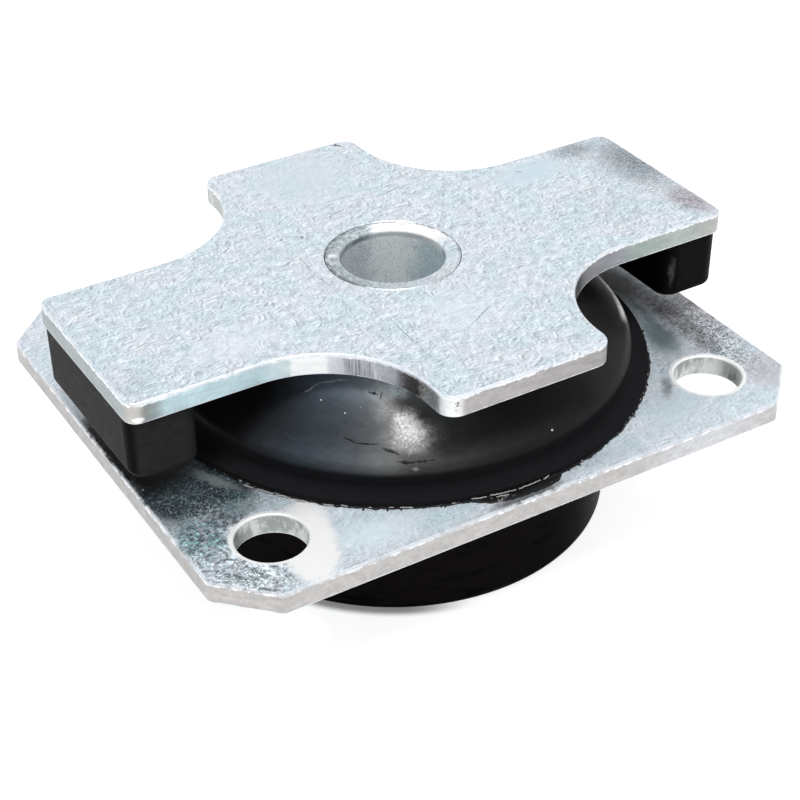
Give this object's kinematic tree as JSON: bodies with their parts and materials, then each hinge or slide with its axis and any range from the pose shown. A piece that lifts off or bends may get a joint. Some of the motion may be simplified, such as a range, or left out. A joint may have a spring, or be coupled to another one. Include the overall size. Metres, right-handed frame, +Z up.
{
  "type": "engine mount",
  "caption": "Bonded rubber engine mount with a cross-shaped top plate, a central sleeve, a rubber dome, a bolted base plate, a drum below it and stop blocks.",
  "frame": {"origin": "centre of the foot of the rubber drum, on the centre line", "axes": "+Z up along the centre line from the drum to the top plate, +X along the top plate's long arms, +Y along its short arms"},
  "size_m": [0.1482, 0.1226, 0.061],
  "materials": {
    "top_plate": "bright zinc plate, fine mottled grain",
    "centre_sleeve": "bright zinc plate, turned end, dull bore",
    "base_plate": "bright zinc plate, spangled",
    "rubber_body": "smooth moulded natural rubber, satin",
    "bumper": "smooth moulded natural rubber, satin"
  },
  "bodies": {
    "root": {"top_plate": "top_plate", "centre_sleeve": "centre_sleeve", "rubber_body": "rubber_body", "base_plate": "base_plate", "left_bumper": "bumper", "right_bumper": "bumper"}
  },
  "joints": []
}
